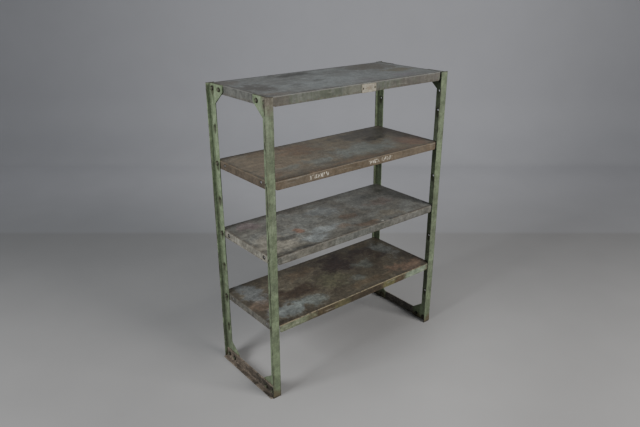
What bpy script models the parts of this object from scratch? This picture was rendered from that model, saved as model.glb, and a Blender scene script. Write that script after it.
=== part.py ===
"""Static steel shelving rack: four T-section posts, gusset plates at their tops and feet,
four pressed sheet-metal trays bolted between them, and two angle rails on the floor.

X runs along the shelves, -Y is the front, +Z is up.  The origin is on the floor under the
middle of the rack.  All sizes are in metres.
"""
import math

import bmesh
import bpy

GAP = 0.0003                 # clearance between pieces that touch

# Posts: rolled T bars.  The web lies in the end plane, the flange faces front or back.
SPAN_HALF = 0.5000           # centre of the rack to the inner face of a web
STEEL = 0.0050               # thickness of webs, flanges, gussets and rails
FLANGE_IN = 0.0182           # flange reach inward from the web's inner face
FLANGE_OUT = 0.0232          # flange reach outward from the web's inner face
FLANGE_FACE_Y = 0.2239       # outer face of the flange at the top
WEB_EDGE_Y = 0.1826          # free edge of the web at the top
HOLE_Y = 0.1989              # drilled line of the web at the top
POST_LEAN = 0.0101           # how far each foot stands in from its top, along Y
POST_HEIGHT = 1.3719
FREE_HOLE_Z = (1.1840, 0.8470, 0.5150, 0.1860)
SPARE_HOLE_Z = 1.2780        # one more hole, in the front right post only

# Gusset plates, in the plane of the webs.
GUSSET_EDGE_Y = 0.1150       # vertical outer edge of a top gusset
GUSSET_EDGE_LENGTH = 0.0290
GUSSET_LENGTH = 0.0850
FOOT_EDGE_Y = 0.1120
FOOT_EDGE_LENGTH = 0.0500
FOOT_LENGTH = 0.0950

# Trays: pressed sheet with a lip down all round and cut-out corners that clear the posts.
SHEET = 0.0020
TRAY_HALF_DEPTH = 0.2159
TRAY_NOTCH_X = 0.4778
TRAY_NOTCH_Y = 0.2105
TRAY_TOPS = (1.3719, 1.0300, 0.6965, 0.3669)
TRAY_LIPS = (0.0411, 0.0373, 0.0368, 0.0354)
TRAY_BOLTS_Z = (1.3500, 1.0155, 0.6780, 0.3485)
INNER_HOLE_Y = 0.1434        # second hole of each lip, in line with the gusset's hole

# Rails: angle bars along the floor, outside the webs and between the flanges.
RAIL_HEIGHT = 0.0470
RAIL_EDGE_X = 0.5330
RAIL_HALF_LENGTH = 0.2084
RAIL_BOLT_Z = 0.0215
RAIL_INNER_BOLT_Y = 0.1400

# Bolts, nuts and holes.
HOLE_RADIUS = 0.0055
SHANK_RADIUS = 0.0050
HEX_RADIUS = 0.0098
HEAD_THICKNESS = 0.0065
NUT_THICKNESS = 0.0080
SHANK_TAIL = 0.0030
ROUND_SIDES = 12

# Label plate on the front lip of the top tray.
LABEL_X = (-0.0220, 0.0610)
LABEL_Z = (1.3300, 1.3670)
LABEL_THICKNESS = 0.0010
RIVET_INSET = 0.0070
RIVET_RADIUS = 0.0030
RIVET_HEIGHT = 0.0012

GREEN = (0.150, 0.190, 0.110)
TRAY_COLORS = ((0.140, 0.140, 0.138), (0.125, 0.110, 0.088), (0.118, 0.118, 0.110), (0.095, 0.085, 0.070))
RAIL_COLORS = {"left": (0.075, 0.055, 0.042), "right": (0.018, 0.017, 0.014)}
BOLT_COLOR = (0.060, 0.055, 0.045)
LABEL_COLOR = (0.480, 0.450, 0.370)

SIDES = {"left": -1, "right": 1}
FACES = {"front": -1, "back": 1}


def clear_scene():
    for obj in list(bpy.data.objects):
        bpy.data.objects.remove(obj, do_unlink=True)


def add_material(obj, color, roughness, metallic):
    material = bpy.data.materials.new(obj.name + "_surface")
    material.use_nodes = True
    shader = material.node_tree.nodes["Principled BSDF"]
    shader.inputs["Base Color"].default_value = (*color, 1.0)
    shader.inputs["Roughness"].default_value = roughness
    shader.inputs["Metallic"].default_value = metallic
    obj.data.materials.append(material)


def finish_object(name, bm):
    """Turns a bmesh into an object with its faces pointing out."""
    bmesh.ops.recalc_face_normals(bm, faces=bm.faces)
    mesh = bpy.data.meshes.new(name)
    bm.to_mesh(mesh)
    bm.free()
    obj = bpy.data.objects.new(name, mesh)
    bpy.context.collection.objects.link(obj)
    return obj


def loft(bm, rings):
    """Closed body through rings of equal length, capped at both ends."""
    loops = [[bm.verts.new(point) for point in ring] for ring in rings]
    for lower, upper in zip(loops, loops[1:]):
        for i in range(len(lower)):
            j = (i + 1) % len(lower)
            bm.faces.new((lower[i], lower[j], upper[j], upper[i]))
    bm.faces.new(loops[0])
    bm.faces.new(loops[-1])


def drill(obj, centres, reach):
    """Cuts round holes along X through obj, each centred on a point of its plate."""
    bm = bmesh.new()
    for x, y, z in centres:
        ring = [(y + HOLE_RADIUS * math.cos(a), z + HOLE_RADIUS * math.sin(a))
                for a in (2 * math.pi * i / ROUND_SIDES for i in range(ROUND_SIDES))]
        loft(bm, [[(x + end, *point) for point in ring] for end in (-reach, reach)])
    cutter = finish_object(obj.name + "_cutter", bm)
    cutter.hide_render = True
    cutter.display_type = "WIRE"
    cut = obj.modifiers.new("holes", "BOOLEAN")
    cut.operation = "DIFFERENCE"
    cut.solver = "EXACT"
    cut.object = cutter


def leaned(y, z):
    """Y of a post feature at height z, given its Y at the top."""
    return y - POST_LEAN * (1.0 - z / POST_HEIGHT)


def web_centre_x():
    return SPAN_HALF + STEEL / 2


def lip_centre_x():
    return SPAN_HALF - GAP - SHEET / 2


def post(side, face):
    sx, sy = SIDES[side], FACES[face]
    x_in, x_out = SPAN_HALF - FLANGE_IN, SPAN_HALF + FLANGE_OUT
    flange_back = FLANGE_FACE_Y - STEEL
    profile = ((SPAN_HALF, WEB_EDGE_Y), (SPAN_HALF + STEEL, WEB_EDGE_Y), (SPAN_HALF + STEEL, flange_back),
               (x_out, flange_back), (x_out, FLANGE_FACE_Y), (x_in, FLANGE_FACE_Y),
               (x_in, flange_back), (SPAN_HALF, flange_back))
    bm = bmesh.new()
    loft(bm, [[(sx * x, sy * leaned(y, z), z) for x, y in profile] for z in (0.0, POST_HEIGHT)])
    obj = finish_object(f"post_{face}_{side}", bm)
    heights = TRAY_BOLTS_Z + FREE_HOLE_Z + (RAIL_BOLT_Z,)
    if (side, face) == ("right", "front"):
        heights += (SPARE_HOLE_Z,)
    drill(obj, [(sx * web_centre_x(), sy * leaned(HOLE_Y, z), z) for z in heights], STEEL)
    add_material(obj, GREEN, 0.55, 0.0)


def gusset(name, side, face, edge_y, edge_z, end_z, hole_y, hole_z):
    """Plate beside the web: flush end, vertical edge to edge_z[1], then a slope back to the web."""
    sx, sy = SIDES[side], FACES[face]
    outline = ((leaned(WEB_EDGE_Y, edge_z[0]) - GAP, edge_z[0]), (edge_y, edge_z[0]), (edge_y, edge_z[1]),
               (leaned(WEB_EDGE_Y, end_z) - GAP, end_z))
    bm = bmesh.new()
    loft(bm, [[(sx * x, sy * y, z) for y, z in outline] for x in (SPAN_HALF, SPAN_HALF + STEEL)])
    obj = finish_object(f"{name}_{face}_{side}", bm)
    drill(obj, [(sx * web_centre_x(), sy * hole_y, hole_z)], STEEL)
    add_material(obj, GREEN, 0.55, 0.0)


def tray(number, top, lip, bolt_z):
    """Sheet with its front and back lips as one body, and the two end lips beside it.

    The sheet's corners are cut out round the posts, so the section is lofted along X in steps.
    """
    x_end, y_end = SPAN_HALF - GAP, TRAY_HALF_DEPTH
    under, low = top - SHEET, top - lip
    bm = bmesh.new()
    narrow = ((-TRAY_NOTCH_Y, top), (-TRAY_NOTCH_Y, under), (TRAY_NOTCH_Y, under), (TRAY_NOTCH_Y, top))
    wide = ((-y_end, top), (-y_end, low), (-y_end + SHEET, low), (-y_end + SHEET, under), (-TRAY_NOTCH_Y, under),
            (TRAY_NOTCH_Y, under), (y_end - SHEET, under), (y_end - SHEET, low), (y_end, low), (y_end, top),
            (TRAY_NOTCH_Y, top), (-TRAY_NOTCH_Y, top))
    shared = (11, 4, 5, 10)
    sections = {x: [bm.verts.new((x, y, z)) for y, z in wide] for x in (-TRAY_NOTCH_X, TRAY_NOTCH_X)}
    ring = list(range(len(wide)))
    for i, j in zip(ring, ring[1:] + ring[:1]):
        bm.faces.new([sections[x][k] for x, k in ((-TRAY_NOTCH_X, i), (-TRAY_NOTCH_X, j),
                                                  (TRAY_NOTCH_X, j), (TRAY_NOTCH_X, i))])
    for x, section in sections.items():
        tip = [bm.verts.new((math.copysign(x_end, x), y, z)) for y, z in narrow]
        base = [section[k] for k in shared]
        for i in range(4):
            j = (i + 1) % 4
            bm.faces.new((base[i], base[j], tip[j], tip[i]))
        bm.faces.new(tip)
        bm.faces.new([section[k] for k in (0, 1, 2, 3, 4, 11)])
        bm.faces.new([section[k] for k in (10, 5, 6, 7, 8, 9)])
    add_material(finish_object(f"tray_{number}", bm), TRAY_COLORS[number - 1], 0.6, 0.3)
    for side, sx in SIDES.items():
        bm = bmesh.new()
        outline = ((-TRAY_NOTCH_Y, low), (TRAY_NOTCH_Y, low), (TRAY_NOTCH_Y, under - GAP),
                   (-TRAY_NOTCH_Y, under - GAP))
        loft(bm, [[(sx * x, y, z) for y, z in outline] for x in (x_end - SHEET, x_end)])
        lip_plate = finish_object(f"tray_{number}_end_{side}", bm)
        drill(lip_plate, [(sx * lip_centre_x(), sy * y, bolt_z) for sy in (-1, 1)
                          for y in (leaned(HOLE_Y, bolt_z), INNER_HOLE_Y)], SHEET)
        add_material(lip_plate, TRAY_COLORS[number - 1], 0.6, 0.3)


def rail(side):
    sx = SIDES[side]
    inner = SPAN_HALF + STEEL + GAP
    profile = ((inner, 0.0), (RAIL_EDGE_X, 0.0), (RAIL_EDGE_X, STEEL), (inner + STEEL, STEEL),
               (inner + STEEL, RAIL_HEIGHT), (inner, RAIL_HEIGHT))
    bm = bmesh.new()
    loft(bm, [[(sx * x, y, z) for x, z in profile] for y in (-RAIL_HALF_LENGTH, RAIL_HALF_LENGTH)])
    obj = finish_object(f"rail_{side}", bm)
    drill(obj, [(sx * (inner + STEEL / 2), sy * y, RAIL_BOLT_Z) for sy in (-1, 1)
                for y in (leaned(HOLE_Y, RAIL_BOLT_Z), RAIL_INNER_BOLT_Y)], STEEL)
    add_material(obj, RAIL_COLORS[side], 0.75, 0.2)


def bolt(name, side, face, y, z, outer_x, inner_x):
    """Hex bolt along X with its head outside outer_x and its nut inside inner_x, one solid."""
    sx, sy = SIDES[side], FACES[face]
    head_face = outer_x + GAP
    nut_face = inner_x - GAP
    stations = ((head_face + HEAD_THICKNESS, HEX_RADIUS), (head_face, HEX_RADIUS),
                (head_face, SHANK_RADIUS), (nut_face, SHANK_RADIUS), (nut_face, HEX_RADIUS),
                (nut_face - NUT_THICKNESS, HEX_RADIUS), (nut_face - NUT_THICKNESS, SHANK_RADIUS),
                (nut_face - NUT_THICKNESS - SHANK_TAIL, SHANK_RADIUS))
    rings = []
    for x, radius in stations:
        ring = []
        for i in range(ROUND_SIDES):
            angle = 2 * math.pi * i / ROUND_SIDES
            flat = math.cos(math.pi / 6) if radius == HEX_RADIUS and i % 2 else 1.0
            ring.append((sx * x, sy * (y + radius * flat * math.cos(angle)),
                         z + radius * flat * math.sin(angle)))
        rings.append(ring)
    bm = bmesh.new()
    loft(bm, rings)
    obj = finish_object(f"{name}_{face}_{side}", bm)
    add_material(obj, BOLT_COLOR, 0.5, 0.8)


def label():
    back = -TRAY_HALF_DEPTH - GAP
    front = back - LABEL_THICKNESS
    bm = bmesh.new()
    outline = [(x, z) for x, z in ((LABEL_X[0], LABEL_Z[0]), (LABEL_X[1], LABEL_Z[0]),
                                   (LABEL_X[1], LABEL_Z[1]), (LABEL_X[0], LABEL_Z[1]))]
    loft(bm, [[(x, y, z) for x, z in outline] for y in (front, back)])
    add_material(finish_object("label_plate", bm), LABEL_COLOR, 0.6, 0.0)
    middle_z = sum(LABEL_Z) / 2
    for side, x in (("left", LABEL_X[0] + RIVET_INSET), ("right", LABEL_X[1] - RIVET_INSET)):
        angles = [2 * math.pi * i / ROUND_SIDES for i in range(ROUND_SIDES)]
        bm = bmesh.new()
        loft(bm, [[(x + RIVET_RADIUS * math.cos(a), y, middle_z + RIVET_RADIUS * math.sin(a)) for a in angles]
                  for y in (front - GAP - RIVET_HEIGHT, front - GAP)])
        add_material(finish_object(f"label_rivet_{side}", bm), BOLT_COLOR, 0.4, 0.9)


def build():
    clear_scene()
    lip_inside = SPAN_HALF - GAP - SHEET
    web_outside = SPAN_HALF + STEEL
    rail_outside = web_outside + GAP + STEEL
    for number, (top, lip, bolt_z) in enumerate(zip(TRAY_TOPS, TRAY_LIPS, TRAY_BOLTS_Z), 1):
        tray(number, top, lip, bolt_z)
    for side in SIDES:
        rail(side)
        for face in FACES:
            post(side, face)
            gusset("gusset_top", side, face, GUSSET_EDGE_Y, (POST_HEIGHT, POST_HEIGHT - GUSSET_EDGE_LENGTH),
                   POST_HEIGHT - GUSSET_LENGTH, INNER_HOLE_Y, TRAY_BOLTS_Z[0])
            gusset("gusset_foot", side, face, FOOT_EDGE_Y, (0.0, FOOT_EDGE_LENGTH), FOOT_LENGTH,
                   RAIL_INNER_BOLT_Y, RAIL_BOLT_Z)
            for number, bolt_z in enumerate(TRAY_BOLTS_Z, 1):
                bolt(f"bolt_tray_{number}", side, face, leaned(HOLE_Y, bolt_z), bolt_z, web_outside, lip_inside)
            bolt("bolt_gusset", side, face, INNER_HOLE_Y, TRAY_BOLTS_Z[0], web_outside, lip_inside)
            bolt("bolt_rail_post", side, face, leaned(HOLE_Y, RAIL_BOLT_Z), RAIL_BOLT_Z, rail_outside, SPAN_HALF)
            bolt("bolt_rail_gusset", side, face, RAIL_INNER_BOLT_Y, RAIL_BOLT_Z, rail_outside, SPAN_HALF)
    label()


build()
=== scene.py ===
import math

import bmesh
import bpy
from mathutils import Matrix, Vector, noise


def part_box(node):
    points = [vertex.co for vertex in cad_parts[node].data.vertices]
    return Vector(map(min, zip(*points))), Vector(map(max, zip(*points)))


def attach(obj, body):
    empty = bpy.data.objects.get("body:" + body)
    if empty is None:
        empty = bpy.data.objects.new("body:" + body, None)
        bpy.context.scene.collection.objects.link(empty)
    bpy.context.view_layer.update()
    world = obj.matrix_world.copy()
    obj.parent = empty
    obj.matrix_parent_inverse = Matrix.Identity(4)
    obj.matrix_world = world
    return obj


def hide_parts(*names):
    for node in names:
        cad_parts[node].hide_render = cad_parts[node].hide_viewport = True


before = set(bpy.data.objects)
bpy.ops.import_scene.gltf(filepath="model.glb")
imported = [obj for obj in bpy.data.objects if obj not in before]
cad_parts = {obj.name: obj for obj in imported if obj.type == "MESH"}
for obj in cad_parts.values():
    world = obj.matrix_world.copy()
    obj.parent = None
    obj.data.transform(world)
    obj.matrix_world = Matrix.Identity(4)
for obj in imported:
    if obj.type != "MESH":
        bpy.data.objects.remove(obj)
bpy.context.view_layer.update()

SIDES = {"left": -1, "right": 1}
FACES = {"front": -1, "back": 1}

# ---------------------------------------------------------------- sizes shared with the CAD, in metres
SPAN = 0.5000            # centre to the inner face of a web
STEEL = 0.0050           # thickness of posts, gussets and rails
SHEET = 0.0020           # thickness of the trays
GAP = 0.0003             # between pieces that touch
POST_LEAN = 0.0101       # how far each foot stands in from its top, along Y
WEB_EDGE_Y = 0.1826      # inner edge of a web, at the top
HOLE_Y = 0.1989          # the line of holes in a web, at the top
TRAY_BOLTS_Z = (1.3500, 1.0155, 0.6780, 0.3485)
FREE_HOLE_Z = (1.1840, 0.8470, 0.5150, 0.1860)
SPARE_HOLE_Z = 1.2780    # one more hole, in the front right post only
RAIL_BOLT_Z = 0.0215
INNER_HOLE_Y = 0.1434    # top gussets' bolts, and the trays' unused holes
RAIL_INNER_BOLT_Y = 0.1400
NOTCH_X, NOTCH_Y = 0.4778, 0.2105    # where the trays' corner cut-outs begin
HOLE_RADIUS = 0.0055
POST_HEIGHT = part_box("post_front_left")[1][2]


def leaned(y, z):
    """Y of a post feature at height z, given its Y at the top."""
    return y - POST_LEAN * (1.0 - z / POST_HEIGHT)


# ---------------------------------------------------------------- mesh helpers
def circle(count):
    """Angles of that many points, evenly round a circle."""
    return [2 * math.pi * i / count for i in range(count)]


def to_object(name, bm, material=None, sharp=40):
    """Smooth-shaded object from a bmesh, with edges sharper than that many degrees kept crisp."""
    bmesh.ops.recalc_face_normals(bm, faces=bm.faces)
    mesh = bpy.data.meshes.new(name)
    bm.to_mesh(mesh)
    bm.free()
    mesh.shade_smooth()
    mesh.set_sharp_from_angle(angle=math.radians(sharp))
    obj = bpy.data.objects.new(name, mesh)
    bpy.context.scene.collection.objects.link(obj)
    if material:
        mesh.materials.append(material)
    return obj


def loft(bm, rings):
    """Closed skin through rings that have the same number of points."""
    loops = [[bm.verts.new(p) for p in ring] for ring in rings]
    for lower, upper in zip(loops, loops[1:]):
        for i in range(len(lower)):
            j = (i + 1) % len(lower)
            bm.faces.new((lower[i], lower[j], upper[j], upper[i]))
    bm.faces.new(loops[0])
    bm.faces.new(loops[-1])


def rounded(corners, steps=3):
    """Closed outline from (x, y, radius) corners, each turned on an arc of its radius."""
    out = []
    for i, (x, y, radius) in enumerate(corners):
        p = Vector((x, y))
        if radius <= 0:
            out.append(p)
            continue
        to_last = Vector(corners[i - 1][:2]) - p
        to_next = Vector(corners[(i + 1) % len(corners)][:2]) - p
        half = to_last.angle(to_next) / 2
        to_last.normalize()
        to_next.normalize()
        centre = p + (to_last + to_next).normalized() * (radius / math.sin(half))
        start = p + to_last * (radius / math.tan(half)) - centre
        end = p + to_next * (radius / math.tan(half)) - centre
        out += [centre + start.slerp(end, k / steps).normalized() * radius for k in range(steps + 1)]
    return [(q.x, q.y) for q in out]


def baked(obj):
    """The object's mesh with its modifiers applied."""
    graph = bpy.context.evaluated_depsgraph_get()
    mesh = bpy.data.meshes.new_from_object(obj.evaluated_get(graph))
    obj.modifiers.clear()
    obj.data = mesh


def drill(obj, centres, reach, radius=HOLE_RADIUS, sides=24):
    """Round holes along X, cut once and kept in the mesh."""
    bm = bmesh.new()
    for x, y, z in centres:
        ring = [(y + radius * math.cos(a), z + radius * math.sin(a)) for a in circle(sides)]
        loft(bm, [[(x + end, *p) for p in ring] for end in (-reach, reach)])
    cutter = to_object("cutter", bm)
    cut = obj.modifiers.new("holes", "BOOLEAN")
    cut.operation, cut.solver, cut.object = "DIFFERENCE", "EXACT", cutter
    baked(obj)
    bpy.data.objects.remove(cutter)
    obj.data.set_sharp_from_angle(angle=math.radians(40))


def soften(obj, width, segments=2, angle=50):
    """Small bevels on the edges sharper than that angle."""
    bevel = obj.modifiers.new("soft_edges", "BEVEL")
    bevel.width, bevel.segments, bevel.limit_method = width, segments, "ANGLE"
    bevel.angle_limit = math.radians(angle)


def level(obj):
    """Flat shading across flat faces, beside the small rounded ones."""
    normals = obj.modifiers.new("level_normals", "WEIGHTED_NORMAL")
    normals.keep_sharp = True


def on_rack(obj, slot, *replaced):
    """Fix a piece to the rack in place of the CAD nodes it replaces."""
    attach(obj, "root")
    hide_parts(*replaced)


# ---------------------------------------------------------------- node helpers
class Paint:
    """A material's node tree. Methods add nodes and return an output socket; finish returns the material."""

    def __init__(self, name):
        self.material = bpy.data.materials.new(name)
        self.material.use_nodes = True
        self.tree = self.material.node_tree
        self.shader = self.tree.nodes["Principled BSDF"]
        self.place = self.add("ShaderNodeTexCoord").outputs["Object"]
        self.axes = self.add("ShaderNodeSeparateXYZ", {0: self.place}).outputs

    def add(self, kind, inputs=None, **props):
        made = self.tree.nodes.new(kind)
        for key, value in props.items():
            setattr(made, key, value)
        for key, value in (inputs or {}).items():
            if isinstance(value, bpy.types.NodeSocket):
                self.tree.links.new(value, made.inputs[key])
            else:
                made.inputs[key].default_value = value
        return made

    def math(self, operation, a, b=0.0, c=0.0):
        return self.add("ShaderNodeMath", {0: a, 1: b, 2: c}, operation=operation).outputs[0]

    def vector(self, operation, a, b=(0.0, 0.0, 0.0), wanted="Vector"):
        return self.add("ShaderNodeVectorMath", {0: a, 1: b}, operation=operation).outputs[wanted]

    def stretch(self, scale=(1, 1, 1), shift=(0, 0, 0), turn=0.0):
        """The place, scaled, turned about Z and moved."""
        return self.add("ShaderNodeMapping", {"Vector": self.place, "Location": shift,
                                              "Rotation": (0, 0, turn), "Scale": scale}).outputs[0]

    def noise(self, scale, detail, rough=0.55, where=None, warp=0.0):
        return self.add("ShaderNodeTexNoise", {"Vector": where or self.place, "Scale": scale,
                                               "Detail": detail, "Roughness": rough,
                                               "Distortion": warp}).outputs[0]

    def step(self, value, low, high, to_low=0.0, to_high=1.0):
        """A smooth rise from to_low at low to to_high at high; low may be above high."""
        return self.add("ShaderNodeMapRange", {"Value": value, "From Min": low, "From Max": high,
                                               "To Min": to_low, "To Max": to_high},
                        interpolation_type="SMOOTHSTEP").outputs[0]

    def mix(self, amount, a, b, mode="MIX"):
        """Colour a at amount 0 and colour b at amount 1."""
        made = self.add("ShaderNodeMix", data_type="RGBA", blend_type=mode)
        for key, value in (("Factor_Float", amount), ("A_Color", a), ("B_Color", b)):
            socket = next(s for s in made.inputs if s.identifier == key)
            if isinstance(value, bpy.types.NodeSocket):
                self.tree.links.new(value, socket)
            else:
                socket.default_value = (*value, 1.0) if isinstance(value, tuple) else value
        return next(s for s in made.outputs if s.identifier == "Result_Color")

    def over(self, color, mask, amount, layer):
        """The colour with a layer laid over it where the mask is 1."""
        return self.mix(self.math("MULTIPLY", mask, amount), color, layer)

    def shaded(self, color, value):
        """The colour multiplied by a value."""
        grey = self.add("ShaderNodeCombineColor", {0: value, 1: value, 2: value}).outputs[0]
        return self.mix(1.0, color, grey, "MULTIPLY")

    def both(self, *masks):
        """1 only where every mask is 1."""
        out = masks[0]
        for mask in masks[1:]:
            out = self.math("MULTIPLY", out, mask)
        return out

    def warped(self, amount, scale, shift=(0.0, 0.0, 0.0)):
        """The place, pushed about by a soft noise."""
        cloud = self.add("ShaderNodeTexNoise", {"Vector": self.stretch(shift=shift), "Scale": scale,
                                                "Detail": 3.0}).outputs["Color"]
        push = self.vector("SUBTRACT", cloud, (0.5, 0.5, 0.5))
        push = self.add("ShaderNodeVectorMath", {0: push, "Scale": amount}, operation="SCALE").outputs[0]
        return self.vector("ADD", self.place, push)

    def blot(self, where, centre, reach, hard=0.5, ragged=None):
        """1 inside an ellipse of that centre and reach, falling softly to 0."""
        away = self.vector("DIVIDE", self.vector("SUBTRACT", where, centre), reach)
        far = self.vector("LENGTH", away, wanted="Value")
        if ragged is not None:
            far = self.math("ADD", far, ragged)
        return self.step(far, hard, 1.15, 1.0, 0.0)

    def finish(self, color, roughness, height, strength, distance, metallic=0.0, specular=0.4):
        """Wire colour, roughness and a bump of that strength and distance into the shader."""
        self.tree.links.new(color, self.shader.inputs["Base Color"])
        self.tree.links.new(roughness, self.shader.inputs["Roughness"])
        self.shader.inputs["Metallic"].default_value = metallic
        self.shader.inputs["Specular IOR Level"].default_value = specular
        bump = self.add("ShaderNodeBump", {"Height": height, "Strength": strength, "Distance": distance})
        self.tree.links.new(bump.outputs[0], self.shader.inputs["Normal"])
        return self.material


def tone(red, green, blue, painted_light=1.0):
    """Linear colour from a colour on the 0 to 255 display scale, brightened by its last argument; the trays
    pass painted light and shade there.
    """
    shares = (v / 255 for v in (red, green, blue))
    return tuple(painted_light * (v / 12.92 if v <= 0.04045 else ((v + 0.055) / 1.055) ** 2.4) for v in shares)


def grained(p, color, seed, coarse, fine=0.14):
    """Blotches, flecks and fine grain worked into a colour, and the blotches' own value."""
    blotch = p.noise(26.0, 7.0, 0.68, where=p.stretch(shift=(seed, seed * 1.7, 0.4)))
    fleck = p.noise(80.0, 8.0, 0.75, where=p.stretch(shift=(seed * 1.3, 0.0, seed)))
    speck = p.noise(260.0, 3.0, 0.6)
    for cloud, low, high, swing in ((blotch, 0.34, 0.66, coarse), (fleck, 0.38, 0.62, 0.8 * coarse),
                                    (speck, 0.32, 0.68, fine)):
        color = p.shaded(color, p.step(cloud, low, high, 1.0 - swing, 1.0 + 0.6 * swing))
    return color, blotch


def chips(p, scale, least, seed, shape=(1.0, 1.0, 1.0)):
    """Ragged little islands, more of them as least comes down."""
    cloud = p.noise(scale, 5.0, 0.7, where=p.stretch(shape, (seed, 3.1 * seed, seed)))
    return p.step(cloud, least, least + 0.035)
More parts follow.
